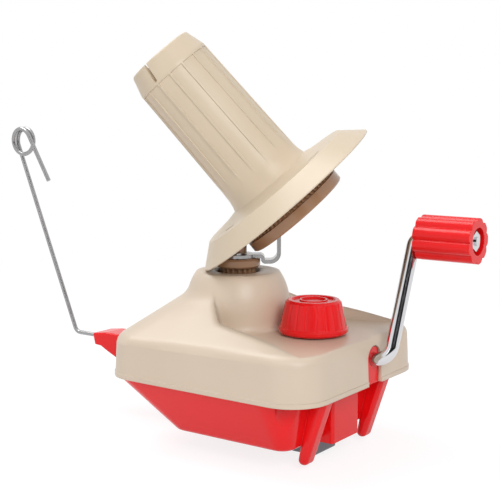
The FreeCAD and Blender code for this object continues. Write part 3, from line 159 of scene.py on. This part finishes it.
# Bare and plated metal: a grey that varies a little with the drawing or rolling lines,
# and a patchy roughness, so that highlights break up along the bar or strip.
# Chrome stays almost even. The jaw's bare strip is the dullest of them and the darkest, its dark grey
# being painted shade for the shadow the jaw sits in.
metalLooks = {
    "chromedSteel": {
        "colour": "#d9d9db", "shade": "#cfcfd2", "roughness": 0.05, "roughnessSpread": 0.05,
        "lineMm": (12.0, 12.0, 12.0), "lineHeight": 0.000002, "edgeMm": 0.2,
    },
    "zincPlatedSteel": {
        "colour": "#b4b3b2", "shade": "#9c9b9b", "roughness": 0.16, "roughnessSpread": 0.12,
        "lineMm": (1.2, 1.2, 9.0), "lineHeight": 0.000006, "edgeMm": 0.2,
    },
    "drawnSteelWire": {
        "colour": "#b2b1b1", "shade": "#929193", "roughness": 0.22, "roughnessSpread": 0.12,
        "lineMm": (0.8, 0.8, 14.0), "lineHeight": 0.000006, "edgeMm": 0.1,
    },
    # the jaw's darker grey is painted shade, standing in for the shadow the jaw sits in under the
    # base
    "jawSteelPaintedShade": {
        "colour": "#77757a", "shade": "#5f5d62", "roughness": 0.3, "roughnessSpread": 0.15,
        "lineMm": (1.2, 1.2, 9.0), "lineHeight": 0.00001, "edgeMm": 0.2,
    },
}
dullPatchMm = 9.0


def makeMetal(name):
    look = metalLooks[name]
    material, tree, output = startMaterial(name)
    place = addNode(tree, "ShaderNodeTexCoord").outputs["Object"]
    scales = tuple(perMetre(size) for size in look["lineMm"])
    stretched = addNode(tree, "ShaderNodeVectorMath", {"operation": "MULTIPLY"}, {0: place})
    stretched.inputs[1].default_value = scales
    lines = addNode(tree, "ShaderNodeTexNoise", {"Scale": 1.0, "Detail": 4.0, "Roughness": 0.6},
                    {"Vector": stretched.outputs["Vector"]})
    dull = addNode(tree, "ShaderNodeTexNoise",
                   {"Scale": perMetre(dullPatchMm), "Detail": 5.0}, {"Vector": place})
    colour = addNode(tree, "ShaderNodeMix", {"data_type": "RGBA"}, {0: lines.outputs["Fac"]})
    colour.inputs[6].default_value = linearColour(look["shade"])
    colour.inputs[7].default_value = linearColour(look["colour"])
    gloss = addNode(tree, "ShaderNodeMapRange",
                    {"From Min": 0.3, "From Max": 0.75, "To Min": look["roughness"],
                     "To Max": look["roughness"] + look["roughnessSpread"]},
                    {"Value": dull.outputs["Fac"]})
    bevel = addNode(tree, "ShaderNodeBevel", {"samples": 4, "Radius": look["edgeMm"] / 1000})
    bump = addNode(tree, "ShaderNodeBump", {"Strength": 1.0, "Distance": look["lineHeight"]},
                   {"Height": lines.outputs["Fac"], "Normal": bevel.outputs["Normal"]})
    shader = addNode(tree, "ShaderNodeBsdfPrincipled", {"Metallic": 1.0},
                     {"Base Color": colour.outputs[2], "Roughness": gloss.outputs["Result"],
                      "Normal": bump.outputs["Normal"]})
    tree.links.new(shader.outputs[0], output.inputs["Surface"])
    return material


materials = {name: makePlastic(name) for name in plasticLooks}
materials.update({name: makeMetal(name) for name in metalLooks})

finishes = {
    "creamAbsShell": ["top_cover"],
    "creamAbs": ["spool"],
    "redAbs": ["base", "guide_arm", "crank_grip", "clamp_knob", "crank_bushes"],
    "brownAcetal": ["ring_gear", "drive_hub", "sun_pinion"],
    "naturalNylon": ["crown_wheel", "spool_bush"],
    "chromedSteel": ["crank_rod", "grip_nut"],
    "drawnSteelWire": ["yarn_guide"],
    # the jaw's finish is darkened as painted shade
    "jawSteelPaintedShade": ["clamp_jaw"],
}
dressed = {node: finish for finish, members in finishes.items() for node in members}
for name, node in nodes.items():
    finish = materials[dressed.get(name, "zincPlatedSteel")]
    node.data.materials.clear()
    node.data.materials.append(finish)
print("materials given to", len(nodes), "nodes")


# A plain white floor under the clamp's jaw, an even white studio and three large soft lamps.
# A dark card behind the camera, seen by reflections alone, gives bright metal its dark band.
studio = {
    "floorSide": 8.0, "floorGap": 0.0004, "floorBounce": "#e6e6e6", "floorShadow": "#8a8a8c",
    "nearGlow": 0.83, "fadeStart": 0.12, "fadeEnd": 0.6,
    "white": "#ffffff", "skyStrength": 0.42,
    "lamps": [
        {"name": "sideLamp", "place": (1.3, -0.9, 0.95), "size": 0.9, "power": 14.0},
        {"name": "topLamp", "place": (-0.75, -0.15, 1.45), "size": 1.1, "power": 13.0},
        {"name": "frontLamp", "place": (0.5, -1.7, 0.6), "size": 0.9, "power": 3.0},
    ],
    "card": {"angle": -42.0, "distance": 0.9, "width": 1.6, "height": 1.1, "centre": (0.08, 0.02),
             "colour": "#101012"},
    "aim": (0.0, 0.0, 0.07),
}


def seenDirectly(tree):
    path = addNode(tree, "ShaderNodeLightPath")
    mirrored = addNode(tree, "ShaderNodeMath", {"operation": "MAXIMUM"},
                       {0: path.outputs["Is Camera Ray"], 1: path.outputs["Is Glossy Ray"]})
    direct = addNode(tree, "ShaderNodeMath", {"operation": "MAXIMUM"},
                     {0: mirrored.outputs["Value"], 1: path.outputs["Is Transmission Ray"]})
    return direct.outputs["Value"]


def makeFloor():
    low = cadBox[0][2] - studio["floorGap"]
    half = studio["floorSide"] / 2
    mesh = bpy.data.meshes.new("floor")
    corners = [(-half, -half, low), (half, -half, low), (half, half, low), (-half, half, low)]
    mesh.from_pydata(corners, [], [(0, 1, 2, 3)])
    floor = bpy.data.objects.new("floor", mesh)
    bpy.context.scene.collection.objects.link(floor)
    material, tree, output = startMaterial("paperFloor")
    place = addNode(tree, "ShaderNodeTexCoord").outputs["Object"]
    flat = addNode(tree, "ShaderNodeVectorMath", {"operation": "MULTIPLY"}, {0: place})
    flat.inputs[1].default_value = (1.0, 1.0, 0.0)
    away = addNode(tree, "ShaderNodeVectorMath", {"operation": "LENGTH"}, {0: flat.outputs["Vector"]})
    fade = addNode(tree, "ShaderNodeMapRange",
                   {"interpolation_type": "SMOOTHSTEP", "From Min": studio["fadeStart"],
                    "From Max": studio["fadeEnd"]}, {"Value": away.outputs["Value"]})
    paper = linearColour(studio["white"])
    bounce = addNode(tree, "ShaderNodeBsdfDiffuse", {"Color": linearColour(studio["floorBounce"])})
    shadow = addNode(tree, "ShaderNodeBsdfDiffuse", {"Color": linearColour(studio["floorShadow"])})
    glow = addNode(tree, "ShaderNodeEmission", {"Color": paper, "Strength": studio["nearGlow"]})
    near = addNode(tree, "ShaderNodeAddShader", None, {0: shadow.outputs[0], 1: glow.outputs[0]})
    white = addNode(tree, "ShaderNodeEmission", {"Color": paper, "Strength": 1.0})
    seen = addNode(tree, "ShaderNodeMixShader", None,
                   {0: fade.outputs["Result"], 1: near.outputs[0], 2: white.outputs[0]})
    final = addNode(tree, "ShaderNodeMixShader", None,
                    {0: seenDirectly(tree), 1: bounce.outputs[0], 2: seen.outputs[0]})
    tree.links.new(final.outputs[0], output.inputs["Surface"])
    mesh.materials.append(material)


def makeSky():
    world = bpy.data.worlds.new("studioSky")
    world.use_nodes = True
    tree = world.node_tree
    tree.nodes.clear()
    output = addNode(tree, "ShaderNodeOutputWorld")
    paper = linearColour(studio["white"])
    soft = addNode(tree, "ShaderNodeBackground", {"Color": paper, "Strength": studio["skyStrength"]})
    white = addNode(tree, "ShaderNodeBackground", {"Color": paper, "Strength": 1.0})
    final = addNode(tree, "ShaderNodeMixShader", None,
                    {0: seenDirectly(tree), 1: soft.outputs[0], 2: white.outputs[0]})
    tree.links.new(final.outputs[0], output.inputs["Surface"])
    bpy.context.scene.world = world


def makeLamps():
    for look in studio["lamps"]:
        data = bpy.data.lights.new(look["name"], "AREA")
        data.shape = "DISK"
        data.size = look["size"]
        data.energy = look["power"]
        lamp = bpy.data.objects.new(look["name"], data)
        lamp.location = look["place"]
        aim = Vector(studio["aim"]) - lamp.location
        lamp.rotation_euler = aim.to_track_quat("-Z", "Y").to_euler()
        bpy.context.scene.collection.objects.link(lamp)


def makeCard():
    look = studio["card"]
    turn = math.radians(look["angle"])
    out = Vector((math.cos(turn), math.sin(turn), 0))
    along = Vector((-math.sin(turn), math.cos(turn), 0)) * look["width"] / 2
    middle = Vector((*look["centre"], 0)) + out * look["distance"]
    top = Vector((0, 0, look["height"]))
    mesh = bpy.data.meshes.new("darkCard")
    corners = [middle - along, middle + along, middle + along + top, middle - along + top]
    mesh.from_pydata(corners, [], [(0, 1, 2, 3)])
    card = bpy.data.objects.new("darkCard", mesh)
    bpy.context.scene.collection.objects.link(card)
    material, tree, output = startMaterial("blackCard")
    felt = addNode(tree, "ShaderNodeBsdfDiffuse", {"Color": linearColour(look["colour"])})
    tree.links.new(felt.outputs[0], output.inputs["Surface"])
    mesh.materials.append(material)
    card.visible_camera = False
    card.visible_diffuse = False
    card.visible_shadow = False


makeFloor()
makeSky()
makeLamps()
makeCard()
print("studio ready")


# The camera stands in front and to the right, a little above the winder.
camera = {
    "place": (0.30423, -0.41731, 0.14961), "azimuth": 35.46, "elevation": 7.72,
    "fieldOfView": 25.65, "nearest": 0.01,
}


def makeCamera():
    data = bpy.data.cameras.new("camera")
    data.sensor_fit = "HORIZONTAL"
    data.angle = math.radians(camera["fieldOfView"])
    data.clip_start = camera["nearest"]
    eye = bpy.data.objects.new("camera", data)
    eye.location = camera["place"]
    tip = math.radians(90 - camera["elevation"])
    eye.rotation_euler = (tip, 0, math.radians(camera["azimuth"]))
    bpy.context.scene.collection.objects.link(eye)
    bpy.context.scene.camera = eye


makeCamera()
bpy.context.scene.view_settings.view_transform = "Standard"
print("camera set")
